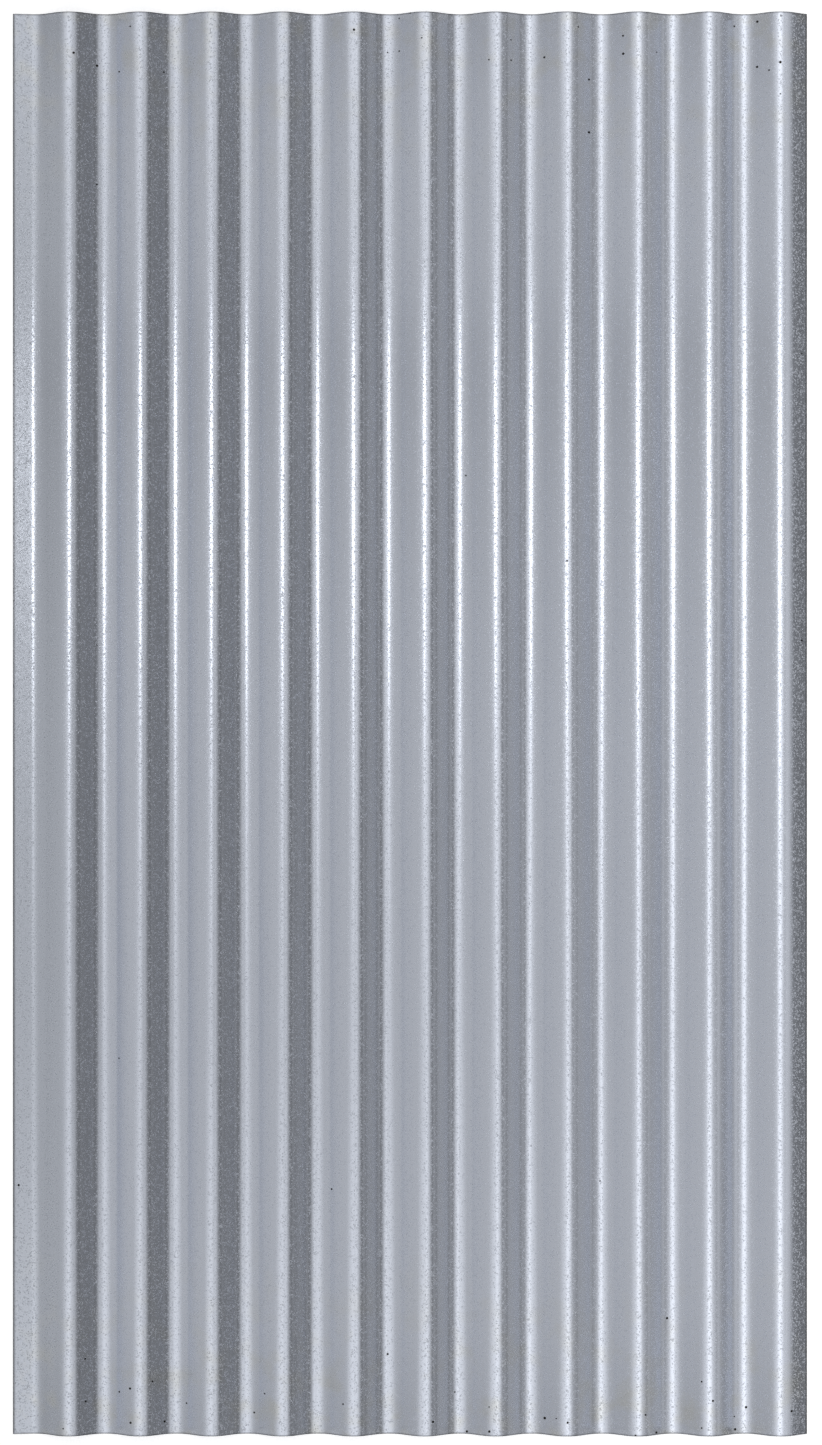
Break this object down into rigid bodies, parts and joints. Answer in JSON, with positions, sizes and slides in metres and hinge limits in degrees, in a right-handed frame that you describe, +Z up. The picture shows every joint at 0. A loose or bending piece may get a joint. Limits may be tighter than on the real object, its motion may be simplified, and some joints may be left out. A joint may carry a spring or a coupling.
{
  "type": "corrugated metal sheet",
  "caption": "Rectangular sheet of thin coated steel rolled to even round corrugations along its length, with a flat lap lip on one side edge, for roofs, walls and fences.",
  "frame": {"origin": "middle of the sheet's rectangle, on the level that the undersides of its valleys rest on", "axes": "+Y along the corrugations, +X across them from the lap lip to the free edge, +Z up out of the face that the weather meets"},
  "size_m": [0.8522, 1.524, 0.0179],
  "materials": {
    "zinc_coated_steel": "satin"
  },
  "bodies": {
    "root": {"corrugated_sheet": "zinc_coated_steel"}
  },
  "joints": []
}
